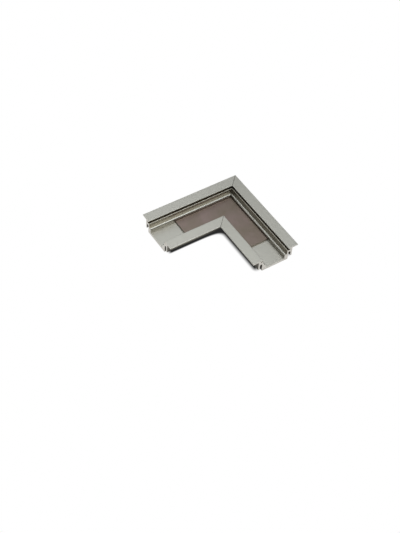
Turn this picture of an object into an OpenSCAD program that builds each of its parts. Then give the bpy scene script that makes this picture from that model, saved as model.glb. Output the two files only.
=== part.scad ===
// Corner of a recessed LED strip channel: two lengths of one aluminium extrusion, mitred and
// butted at a right angle, held in line by an L-shaped plate bonded to the channel floor.
// The origin is where the two channel centrelines cross, on the underside of the floor.
// One arm runs along +X, the other along +Y, and the open mouth faces +Z.

/* [Arms] */
// Length of an arm along the outer edge of its flange
arm_length = 50; // [44:1:120]
// Height from the underside of the floor to the top of the flanges
profile_h = 7; // [6.4:0.1:12]
// Width of the hairline between the two mitred ends
mitre_gap = 0.2; // [0.04:0.02:0.3]

/* [Channel] */
// Clear width between the ledges, for the strip
strip_w = 10.3; // [8.3:0.1:12.3]
// Thickness of the floor
floor_t = 1.2; // [0.8:0.1:2]
// Height of the ledge tops above the floor
ledge_h = 2.2; // [1.6:0.1:2.6]
// Width of a ledge top
ledge_w = 1.25; // [0.8:0.05:2]
// Thickness of the wall between a ledge and the clip slot
wall_t = 0.6; // [0.5:0.05:1]

/* [Flanges and cover grooves] */
// Thickness of the flange outside the leg
flange_t = 0.6; // [0.5:0.05:1.2]
// Reach of the flange past the leg
flange_reach = 3; // [1.5:0.1:6]
// Thickness of the flange's lip over the cover groove
lip_t = 0.5; // [0.35:0.05:0.7]
// How far the lip stands back from the wall below it
lip_setback = 0.5; // [0.2:0.05:0.7]
// Clear height of the cover groove under the lip
groove_h = 0.9; // [0.6:0.05:1.1]
// Depth of the cover groove behind the lip
groove_depth = 0.9; // [0.4:0.05:1.1]

/* [Clip slots] */
// Width of the slot between wall and leg
slot_w = 1.2; // [0.9:0.05:1.6]
// Thickness of the web between the slot's roof and the cover groove
web_t = 1.1; // [0.7:0.05:1.2]
// Thickness of the outer leg
leg_t = 0.8; // [0.6:0.05:1.2]
// Height of the leg's foot above the underside of the floor
leg_lift = 1.5; // [0:0.1:2]

/* [Joining plate] */
// Reach of each plate leg from the crossing of the centrelines
plate_reach = 25; // [14:1:28]
// Thickness of the plate
plate_t = 0.8; // [0.4:0.05:1.2]
// Gap between the plate's edge and the ledge on each side
plate_clearance = 0.15; // [0.05:0.05:0.5]

/* [Edges] */
// Radius of the flange's outer edge and of the leg's foot
edge_r = 0.4; // [0.1:0.05:0.45]
// Radius of the ledges' front edges
ledge_front_r = 0.6; // [0.2:0.05:0.7]
// Radius of the wall tops and the floor's lower edges
wall_r = 0.35; // [0.1:0.05:0.4]
// Radius of the lips' edges
lip_edge_r = 0.2; // [0.05:0.05:0.25]
// Radius of the fillet between leg and flange
flange_fillet_r = 0.35; // [0.1:0.05:0.6]

/* [Hidden] */
$fn = 64;
aluminium = [0.67, 0.67, 0.645];
dark_steel = [0.43, 0.39, 0.35];

// Distances from the channel's centreline, from the strip outwards
ledge_in = strip_w / 2;
wall_in = ledge_in + ledge_w;
wall_out = wall_in + wall_t;
leg_in = wall_out + slot_w;
leg_out = leg_in + leg_t;
flange_out = leg_out + flange_reach;
lip_in = wall_in + lip_setback;
groove_back = lip_in + groove_depth;

// Heights above the underside of the floor
ledge_z = floor_t + ledge_h;
lip_z = profile_h - lip_t;
groove_z = lip_z - groove_h;
flange_z = profile_h - flange_t;
slot_r = slot_w / 2;
slot_round_z = groove_z - web_t - slot_r;

// Largest share of a wall's thickness that an edge radius takes
round_share = 0.45;
leg_r = min(edge_r, round_share * leg_t);
flange_r = min(edge_r, round_share * flange_t);
lip_r = min(lip_edge_r, round_share * lip_t);

plate_w = strip_w - 2 * plate_clearance;
overcut = 1;

// Rectangle between two corners, all four rounded
module bar(low, high, r) {
    translate([low.x + r, low.y]) square([high.x - low.x - 2 * r, high.y - low.y]);
    translate([low.x, low.y + r]) square([high.x - low.x, high.y - low.y - 2 * r]);
    for (x = [low.x + r, high.x - r], y = [low.y + r, high.y - r])
        translate([x, y]) circle(r);
}

// Rectangle between two corners, left sharp because its neighbours cover them
module block(low, high) {
    translate(low) square(high - low);
}

// Concave fillet in the corner under the flange
module flange_fillet() {
    difference() {
        block([leg_out, flange_z - flange_fillet_r], [leg_out + flange_fillet_r, flange_z]);
        translate([leg_out + flange_fillet_r, flange_z - flange_fillet_r]) circle(flange_fillet_r);
    }
}

// Slot between wall and leg, open downwards, with a round roof
module clip_slot() {
    translate([wall_out + slot_r, slot_round_z]) circle(slot_r);
    block([wall_out, -overcut], [leg_in, slot_round_z]);
}

// One side of the channel: ledge, wall, web, leg, lip over the cover groove, and flange
module side_section() {
    difference() {
        union() {
            bar([ledge_in, 0], [wall_out, ledge_z], ledge_front_r);
            bar([ledge_in, 0], [wall_out, floor_t], wall_r);
            block([wall_in, wall_r], [wall_out, groove_z - wall_r]);
            bar([wall_in, slot_round_z - wall_r], [leg_out, groove_z], wall_r);
            bar([leg_in, leg_lift], [leg_out, profile_h], leg_r);
            block([groove_back, groove_z - wall_r], [leg_out, profile_h - leg_r]);
            bar([lip_in, lip_z], [leg_out, profile_h], lip_r);
            bar([groove_back, flange_z], [flange_out, profile_h], flange_r);
            flange_fillet();
        }
        clip_slot();
    }
}

// Whole section across an arm, with the channel's mouth upwards
module section() {
    block([-wall_out + wall_r, 0], [wall_out - wall_r, floor_t]);
    side_section();
    mirror([1, 0]) side_section();
}

// Length of the extrusion along +X, mitred on the plane x = y
module mitred_arm() {
    difference() {
        translate([-flange_out, 0, 0]) rotate([90, 0, 90]) linear_extrude(arm_length) section();
        rotate([0, 0, 45]) translate([-arm_length, -mitre_gap / 2, -overcut])
            cube([2 * arm_length, 2 * arm_length, profile_h + 2 * overcut]);
    }
}

module left_profile() {
    color(aluminium) mitred_arm();
}

module right_profile() {
    color(aluminium) mirror([1, -1, 0]) mitred_arm();
}

// L-shaped plate that lies on both floors, across the mitre
module joining_plate() {
    color(dark_steel) translate([0, 0, floor_t]) linear_extrude(plate_t) {
        block([-plate_w / 2, -plate_w / 2], [plate_reach, plate_w / 2]);
        block([-plate_w / 2, -plate_w / 2], [plate_w / 2, plate_reach]);
    }
}

left_profile();
right_profile();
joining_plate();
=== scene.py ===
"""Finish, light and camera for a mitred corner of LED strip channel with its joining plate."""
import math

import bmesh
import bpy
from mathutils import Matrix, Vector


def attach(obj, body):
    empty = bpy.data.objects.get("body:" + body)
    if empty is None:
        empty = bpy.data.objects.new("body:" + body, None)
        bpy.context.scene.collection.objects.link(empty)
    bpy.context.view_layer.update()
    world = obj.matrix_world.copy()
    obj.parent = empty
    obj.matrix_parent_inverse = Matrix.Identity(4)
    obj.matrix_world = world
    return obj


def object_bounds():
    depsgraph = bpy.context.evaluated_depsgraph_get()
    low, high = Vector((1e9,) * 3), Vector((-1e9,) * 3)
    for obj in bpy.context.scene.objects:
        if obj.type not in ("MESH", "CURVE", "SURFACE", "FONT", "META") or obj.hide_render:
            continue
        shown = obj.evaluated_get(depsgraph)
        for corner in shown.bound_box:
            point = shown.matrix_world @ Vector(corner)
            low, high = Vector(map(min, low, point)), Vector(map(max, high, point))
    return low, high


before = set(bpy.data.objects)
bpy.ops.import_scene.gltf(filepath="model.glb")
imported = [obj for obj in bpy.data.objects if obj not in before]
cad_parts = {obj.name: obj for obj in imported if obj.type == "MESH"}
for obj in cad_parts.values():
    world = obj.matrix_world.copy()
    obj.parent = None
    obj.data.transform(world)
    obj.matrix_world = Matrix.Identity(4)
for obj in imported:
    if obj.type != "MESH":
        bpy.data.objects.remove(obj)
cad_low, cad_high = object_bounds()

# Camera, fitted to the edges of the photographed corner
IMAGE_HEIGHT_PX = 533
SENSOR_MM = 36.0
FOCAL_PX = 1129.5
CAMERA_AZIMUTH_DEG = 144.742
CAMERA_ELEVATION_DEG = 49.247
CAMERA_ROLL_DEG = 3.62
CAMERA_DISTANCE = 0.519661
CAMERA_ASIDE = -0.012531
CAMERA_ABOVE = -0.025622

# Every finish: middle of the noise's range, and the cosine past which a face looks along an axis
NOISE_LOW = 0.3
NOISE_HIGH = 0.7
FACING_COSINE = 0.5
UP = (0, 0, 1)

# Anodised aluminium, in eight-bit screen colours
LEFT_TONE = (181, 177, 167)
LEFT_SHADE = (174, 169, 158)
# Right arm: the same anodising a little darker, as painted shade for how light falls along its lines
RIGHT_PAINTED_TONE = (177, 173, 163)
RIGHT_PAINTED_SHADE = (170, 165, 154)
# Inside of the channel: darker, browner tone that paints the shade of its walls and grooves
PAINTED_RECESS_TONE = (167, 160, 146)
PAINTED_RECESS_SHADE = (161, 154, 139)
SAWN_TONE = (206, 203, 196)
SAWN_SHADE = (184, 180, 173)
# Its lines, clouds, grain and saw marks: scales to a metre, stretches and shares
DIE_LINE_SCALE = 1600
HAIR_LINE_SCALE = 7000
LINE_STRETCH = 0.012
DIE_LINE_SHARE = 0.6
LINE_TONE_SHARE = 0.7
CLOUD_SCALE = 160
SATIN_GRAIN_SCALE = 9000
SATIN_GRAIN_SHARE = 0.5
SAW_MARK_SCALE = 5000
SAW_MARK_STRETCH = (1.0, 1.0, 0.08)
# Its roughness, and the strength and height of its bumps
SATIN_ROUGHNESS = (0.34, 0.42)
CLOUD_ROUGHNESS = (0.0, 0.04)
SATIN_BUMPS = (0.12, 0.00005)
# Inside of the channel: half width, and heights between which it is smoother, or darker and browner as
# painted shade
CHANNEL_REACH = 0.00805
SMOOTH_HEIGHTS = (0.00125, 0.00655)
SHADE_HEIGHTS = (0.00345, 0.00655)
# What its smoother part loses of the roughness and of the bumps
ROUGHNESS_DROP = 0.12
BUMPS_DROP = 0.7

# Dull plate, in the same kinds of values
PLATE_TONE = (123, 111, 100)
PLATE_BROWN = (113, 102, 87)
PLATE_MAUVE = (134, 115, 110)
PLATE_EDGE = (165, 155, 145)
BLOTCH_SCALE = 130
BLOTCH_DETAIL = 2.0
PATCH_SCALE = 420
PATCH_DETAIL = 4.0
PATCH_SHARES = (0.2, 0.6)
PLATE_GRAIN_SCALE = 6000
PLATE_ROUGHNESS = (0.28, 0.33)
PLATE_GRAIN_ROUGHNESS = (0.0, 0.04)
PLATE_BUMPS = (0.03, 0.00004)

# Dark sheet in the hairline between the mitred ends, as painted shade of the gap
GAP_SHADE_TONE = (128, 122, 112)
GAP_SHADE_DARK = (100, 95, 86)
MOTTLING_SCALE = 2500
SEAM_ROUGHNESS = (0.6, 0.8)
SEAM_BUMPS = (0.2, 0.00003)
MITRE_GAP = 0.0002
SEAM_WIDTH = 0.00016
SEAM_SETBACK = 0.0001
# Distance within which points are merged, and cosine past which a face is part of the mitred cut
MERGE_DISTANCE = 0.000001
MITRE_COSINE = 0.99

# White studio floor that the object stands on
FLOOR_TONE = (240, 240, 238)
FLOOR_DROP = 0.00002
FLOOR_RADIUS = 8.0
FLOOR_SIDES = 64
# Shadows under the left and the right arm: two corners on the floor, and fades along x and y
TIGHT_SHADOWS = (
    ((-0.0086, -0.0086), (0.0352, 0.0086), (0.0022, 0.00075)),
    ((-0.0085, -0.0085), (0.0085, 0.0348), (0.00225, 0.003)))
TIGHT_BLEND = 6.0
TIGHT_LEVEL = 0.022
# Square round both, outside which they end
SHADOW_LIMIT = ((-0.0086, -0.0086), (0.0366, 0.0366), (0.0022, 0.0022))
# Wide ones that the metal mirrors
MIRRORED_SHADOWS = (
    ((-0.0086, -0.0086), (0.0366, 0.0086), (0.002, 0.016)),
    ((-0.0086, -0.0086), (0.0086, 0.0366), (0.016, 0.002)))
MIRRORED_BLEND = 0.3
MIRRORED_LEVEL = 0.07

# Cool white of the soft lights and the room
LIGHT_TINT = (0.89, 0.95, 1.0)
# Room: light from the walls and the ceiling, and the sines of the heights they fade between
WALL_LEVEL = 0.7
CEILING_LEVEL = 0.2
WALL_TOP = 0.2
CEILING_EDGE = 0.65
# Soft lights: place, width and power in watts
SOFTBOXES = {
    "overhead_softbox": ((-0.129, -0.119, 0.574), 0.38, 1.01),
    "back_softbox": ((-0.094, -0.303, 0.509), 0.38, 0.31),
    "right_softbox": ((-0.119, 0.314, 0.497), 0.30, 0.82),
    "left_softbox": ((0.466, -0.172, 0.336), 0.34, 0.56),
}


def linear(channel):
    """Linear light of one eight-bit screen channel, by the usual screen curve."""
    value = channel / 255
    return value / 12.92 if value <= 0.04045 else ((value + 0.055) / 1.055) ** 2.4


def colour(tone):
    """Linear colour with alpha from an eight-bit screen colour."""
    return tuple(linear(channel) for channel in tone) + (1.0,)


class Finish:
    """Material whose nodes are added one call at a time."""

    def __init__(self, name):
        self.material = bpy.data.materials.new(name)
        self.material.use_nodes = True
        self.tree = self.material.node_tree
        self.tree.nodes.clear()

    def node(self, kind, inputs, **settings):
        """New node; an input is a socket to link or a constant to set."""
        made = self.tree.nodes.new(kind)
        for key, value in settings.items():
            setattr(made, key, value)
        for key, value in inputs.items():
            if isinstance(value, bpy.types.NodeSocket):
                self.tree.links.new(value, made.inputs[key])
            else:
                made.inputs[key].default_value = value
        return made

    def maths(self, operation, first, second=0.0):
        """Scalar sum, product and the like."""
        return self.node("ShaderNodeMath", {0: first, 1: second}, operation=operation).outputs[0]

    def mixed(self, share, low, high):
        """Colour between two others."""
        made = self.node("ShaderNodeMix", {"Factor": share, "A": low, "B": high}, data_type="RGBA")
        return made.outputs["Result"]

    def spread(self, value, low, high):
        """Noise value from the middle of its range, taken to between low and high."""
        made = self.node("ShaderNodeMapRange", {
            "Value": value, "From Min": NOISE_LOW, "From Max": NOISE_HIGH, "To Min": low, "To Max": high})
        return made.outputs[0]

    def place(self):
        """Place on the object's own axes."""
        return self.node("ShaderNodeTexCoord", {}).outputs["Object"]

    def noise(self, scale, stretch=(1, 1, 1), detail=3.0):
        """Noise on the object's own axes, drawn out by a stretch along them."""
        mapped = self.node("ShaderNodeMapping", {"Vector": self.place(), "Scale": stretch}).outputs[0]
        made = self.node("ShaderNodeTexNoise", {"Vector": mapped, "Scale": scale, "Detail": detail})
        return made.outputs["Fac"]

    def inside(self, axis, low, high):
        """One where the place along an axis is between two others, and nothing elsewhere."""
        along = self.node("ShaderNodeVectorMath", {0: self.place(), 1: axis}, operation="DOT_PRODUCT")
        made = self.node("ShaderNodeMath", {
            0: along.outputs["Value"], 1: (low + high) / 2, 2: (high - low) / 2}, operation="COMPARE")
        return made.outputs[0]

    def facing(self, axis):
        """One on faces that look along an axis, either way, and nothing elsewhere."""
        normal = self.node("ShaderNodeNewGeometry", {}).outputs["Normal"]
        along = self.node("ShaderNodeVectorMath", {0: normal, 1: axis}, operation="DOT_PRODUCT")
        either_way = self.maths("ABSOLUTE", along.outputs["Value"])
        return self.maths("GREATER_THAN", either_way, FACING_COSINE)

    def beside(self, strip):
        """Distance from a strip of shadow on the floor, in parts of its fades."""
        low, high, fades = (Vector(part).to_3d() for part in strip)
        nothing = (0, 0, 0)
        value = self.place()
        for operation, second in (("SUBTRACT", (low + high) / 2), ("ABSOLUTE", nothing),
                                  ("SUBTRACT", (high - low) / 2), ("MAXIMUM", nothing),
                                  ("DIVIDE", fades)):
            value = self.node("ShaderNodeVectorMath", {0: value, 1: second}, operation=operation).outputs[0]
        return self.node("ShaderNodeVectorMath", {0: value}, operation="LENGTH").outputs["Value"]

    def shaded(self, strips, level, blend=0.0):
        """Light on the floor round strips of shadow that run together."""
        nearest, *others = (self.beside(strip) for strip in strips)
        for other in others:
            joined = self.node("ShaderNodeMath", {0: nearest, 1: other, 2: blend}, operation="SMOOTH_MIN")
            nearest = joined.outputs[0]
        made = self.node("ShaderNodeMapRange", {"Value": nearest, "To Min": level},
                         interpolation_type="SMOOTHSTEP")
        return made.outputs[0]

    def close(self, surface):
        """Link the surface to the output and hand the material back."""
        self.node("ShaderNodeOutputMaterial", {"Surface": surface})
        return self.material

    def close_bumpy(self, tone, roughness, height, bumps, metallic=1.0):
        """Close with a surface that has a tone, a roughness, and bumps of a strength and height."""
        strength, distance = bumps
        bump = self.node("ShaderNodeBump", {"Height": height, "Strength": strength, "Distance": distance})
        shader = self.node("ShaderNodeBsdfPrincipled", {
            "Base Color": tone, "Metallic": metallic, "Roughness": roughness, "Normal": bump.outputs[0]})
        return self.close(shader.outputs[0])


def anodised_aluminium(name, along, main, shade):
    """Satin anodised extrusion with fine lines along an arm, bright saw-cut ends, and painted shade inside
    the channel.
    """
    finish = Finish(name)
    across = (along[1], along[0], 0)
    stretch = tuple(LINE_STRETCH if part else 1.0 for part in along)
    die_lines = finish.noise(DIE_LINE_SCALE, stretch)
    hair_lines = finish.noise(HAIR_LINE_SCALE, stretch)
    clouds = finish.noise(CLOUD_SCALE)
    grain = finish.noise(SATIN_GRAIN_SCALE)

    lines = finish.maths("ADD", finish.maths("MULTIPLY", die_lines, DIE_LINE_SHARE),
                         finish.maths("MULTIPLY", hair_lines, 1 - DIE_LINE_SHARE))
    tone = finish.maths("ADD", finish.spread(lines, 0.0, LINE_TONE_SHARE),
                        finish.spread(clouds, 0.0, 1 - LINE_TONE_SHARE))
    channel = finish.inside(across, -CHANNEL_REACH, CHANNEL_REACH)
    smooth = finish.maths("MULTIPLY", channel, finish.inside(UP, *SMOOTH_HEIGHTS))
    # Painted shade: a darker, browner tone on the channel's walls and grooves
    brown = finish.maths("MULTIPLY", channel, finish.inside(UP, *SHADE_HEIGHTS))
    satin = finish.mixed(brown, finish.mixed(tone, colour(shade), colour(main)),
                         finish.mixed(tone, colour(PAINTED_RECESS_SHADE), colour(PAINTED_RECESS_TONE)))
    saw_marks = finish.noise(SAW_MARK_SCALE, SAW_MARK_STRETCH)
    sawn = finish.mixed(finish.spread(saw_marks, 0.0, 1.0), colour(SAWN_SHADE), colour(SAWN_TONE))

    roughness = finish.maths("ADD", finish.spread(clouds, *CLOUD_ROUGHNESS),
                             finish.spread(lines, *SATIN_ROUGHNESS))
    roughness = finish.maths("SUBTRACT", roughness, finish.maths("MULTIPLY", smooth, ROUGHNESS_DROP))
    height = finish.maths("ADD", lines, finish.maths("MULTIPLY", grain, SATIN_GRAIN_SHARE))
    bumps_left = finish.maths("SUBTRACT", 1.0, finish.maths("MULTIPLY", smooth, BUMPS_DROP))
    height = finish.maths("MULTIPLY", height, bumps_left)
    metal = finish.mixed(finish.facing(along), satin, sawn)
    return finish.close_bumpy(metal, roughness, height, SATIN_BUMPS)


def dull_plate(name):
    """Dull brown-grey sheet metal with faint blotches and a fine grain."""
    finish = Finish(name)
    blotches = finish.noise(BLOTCH_SCALE, detail=BLOTCH_DETAIL)
    grain = finish.noise(PLATE_GRAIN_SCALE)
    patches = finish.noise(PATCH_SCALE, detail=PATCH_DETAIL)
    warm = finish.mixed(finish.spread(blotches, 0.0, 1.0), colour(PLATE_BROWN), colour(PLATE_MAUVE))
    flat = finish.mixed(finish.spread(patches, *PATCH_SHARES), warm, colour(PLATE_TONE))
    tone = finish.mixed(finish.facing(UP), colour(PLATE_EDGE), flat)
    roughness = finish.maths("ADD", finish.spread(patches, *PLATE_ROUGHNESS),
                             finish.spread(grain, *PLATE_GRAIN_ROUGHNESS))
    return finish.close_bumpy(tone, roughness, grain, PLATE_BUMPS)


def painted_gap_shade(name):
    """Matt dark sheet with a little mottling, as painted shade."""
    finish = Finish(name)
    mottling = finish.noise(MOTTLING_SCALE)
    tone = finish.mixed(finish.spread(mottling, 0.0, 1.0), colour(GAP_SHADE_DARK), colour(GAP_SHADE_TONE))
    roughness = finish.spread(mottling, *SEAM_ROUGHNESS)
    return finish.close_bumpy(tone, roughness, mottling, SEAM_BUMPS, metallic=0.0)


def set_out(name, shape, material):
    """Object in the scene, of a bmesh shape and its material."""
    mesh = bpy.data.meshes.new(name)
    shape.to_mesh(mesh)
    shape.free()
    mesh.materials.append(material)
    piece = bpy.data.objects.new(name, mesh)
    bpy.context.scene.collection.objects.link(piece)
    return piece


def shade_mitre_gap():
    """Thin dark sheet in the shape of a mitred end, set back a little from its edges, as painted shade in
    the mitre gap.
    """
    across = Vector((-1, 1, 0)).normalized()
    shape = bmesh.new()
    shape.from_mesh(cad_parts["left_profile"].data)
    bmesh.ops.remove_doubles(shape, verts=shape.verts, dist=MERGE_DISTANCE)
    elsewhere = [face for face in shape.faces if face.normal.dot(across) < MITRE_COSINE]
    bmesh.ops.delete(shape, geom=elsewhere, context="FACES")
    bmesh.ops.dissolve_faces(shape, faces=shape.faces[:])
    rim = bmesh.ops.inset_region(shape, faces=shape.faces[:], thickness=SEAM_SETBACK,
                                 use_boundary=True, use_even_offset=True)
    bmesh.ops.delete(shape, geom=rim["faces"], context="FACES")
    bmesh.ops.translate(shape, verts=shape.verts, vec=across * (MITRE_GAP - SEAM_WIDTH) / 2)
    grown = bmesh.ops.extrude_face_region(shape, geom=shape.faces[:])
    ahead = [item for item in grown["geom"] if isinstance(item, bmesh.types.BMVert)]
    bmesh.ops.translate(shape, verts=ahead, vec=across * SEAM_WIDTH)
    bmesh.ops.recalc_face_normals(shape, faces=shape.faces)
    seam = set_out("mitre_gap_shade", shape, painted_gap_shade("painted_gap_shade"))
    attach(seam, "root")


def white_floor(name):
    """White table with a tight shadow under the two arms, softer where metal mirrors it."""
    finish = Finish(name)
    path = finish.node("ShaderNodeLightPath", {})
    seen = finish.maths("MAXIMUM", path.outputs["Is Camera Ray"], path.outputs["Is Glossy Ray"])
    seen = finish.maths("MAXIMUM", seen, path.outputs["Is Transmission Ray"])
    tight = finish.maths("MAXIMUM", finish.shaded(TIGHT_SHADOWS, TIGHT_LEVEL, TIGHT_BLEND),
                         finish.shaded((SHADOW_LIMIT,), TIGHT_LEVEL))
    mirrored = finish.shaded(MIRRORED_SHADOWS, MIRRORED_LEVEL, MIRRORED_BLEND)
    lit = finish.node("ShaderNodeMix", {"Factor": path.outputs["Is Camera Ray"], "A": mirrored, "B": tight})
    white = finish.node("ShaderNodeEmission", {"Strength": lit.outputs["Result"]})
    matt = finish.node("ShaderNodeBsdfDiffuse", {"Color": colour(FLOOR_TONE)})
    mixed = finish.node("ShaderNodeMixShader", {0: seen, 1: matt.outputs[0], 2: white.outputs[0]})
    return finish.close(mixed.outputs[0])


def lay_floor():
    """Round white table top under the object."""
    shape = bmesh.new()
    bmesh.ops.create_circle(shape, cap_ends=True, radius=FLOOR_RADIUS, segments=FLOOR_SIDES)
    bmesh.ops.translate(shape, verts=shape.verts, vec=(0, 0, cad_low[2] - FLOOR_DROP))
    table = set_out("studio_floor", shape, white_floor("white_table"))


def pale_room():
    """Soft light from pale walls all round, under a dim ceiling."""
    world = bpy.data.worlds.new("room")
    world.use_nodes = True
    tree = world.node_tree
    backdrop = tree.nodes["Background"]
    backdrop.inputs["Color"].default_value = LIGHT_TINT + (1.0,)
    heading = tree.nodes.new("ShaderNodeTexCoord")
    height = tree.nodes.new("ShaderNodeSeparateXYZ")
    fade = tree.nodes.new("ShaderNodeMapRange")
    fade.interpolation_type = "SMOOTHSTEP"
    for key, value in zip(("From Min", "From Max", "To Min", "To Max"),
                          (WALL_TOP, CEILING_EDGE, WALL_LEVEL, CEILING_LEVEL)):
        fade.inputs[key].default_value = value
    tree.links.new(heading.outputs["Generated"], height.inputs[0])
    tree.links.new(height.outputs["Z"], fade.inputs["Value"])
    tree.links.new(fade.outputs[0], backdrop.inputs["Strength"])
    bpy.context.scene.world = world


def hang_softbox(name, place, width, power):
    """Square soft light that faces the object."""
    data = bpy.data.lights.new(name, "AREA")
    data.size = width
    data.energy = power
    data.color = LIGHT_TINT
    softbox = bpy.data.objects.new(name, data)
    softbox.location = place
    softbox.rotation_euler = Vector(place).to_track_quat("Z", "Y").to_euler()
    bpy.context.scene.collection.objects.link(softbox)


def place_camera():
    """Camera at the photograph's viewing angle, with no shift."""
    azimuth = math.radians(CAMERA_AZIMUTH_DEG)
    elevation = math.radians(CAMERA_ELEVATION_DEG)
    level = math.cos(elevation)
    back = Vector((math.sin(azimuth) * level, -math.cos(azimuth) * level, math.sin(elevation)))
    right = Vector((math.cos(azimuth), math.sin(azimuth), 0))
    roll = Matrix.Rotation(math.radians(CAMERA_ROLL_DEG), 3, back)
    right = roll @ right
    up = back.cross(right)
    data = bpy.data.cameras.new("camera")
    data.sensor_width = SENSOR_MM
    data.lens = FOCAL_PX * SENSOR_MM / IMAGE_HEIGHT_PX
    camera = bpy.data.objects.new("camera", data)
    bpy.context.scene.collection.objects.link(camera)
    turned = Matrix((right, up, back)).transposed().to_4x4()
    spot = right * CAMERA_ASIDE + up * CAMERA_ABOVE + back * CAMERA_DISTANCE
    camera.matrix_world = Matrix.Translation(spot) @ turned
    bpy.context.scene.camera = camera


def dress(node, material):
    """Give a CAD node its finish."""
    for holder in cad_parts[node].material_slots:
        holder.material = material


dress("left_profile", anodised_aluminium("anodised_along_x", (1, 0, 0), LEFT_TONE, LEFT_SHADE))
# The right arm's darker tone is painted shade
dress("right_profile", anodised_aluminium("anodised_along_y", (0, 1, 0), RIGHT_PAINTED_TONE, RIGHT_PAINTED_SHADE))
dress("joining_plate", dull_plate("dull_plate"))

shade_mitre_gap()
lay_floor()
pale_room()
for name, (place, width, power) in SOFTBOXES.items():
    hang_softbox(name, place, width, power)
place_camera()
bpy.context.scene.view_settings.view_transform = "Standard"
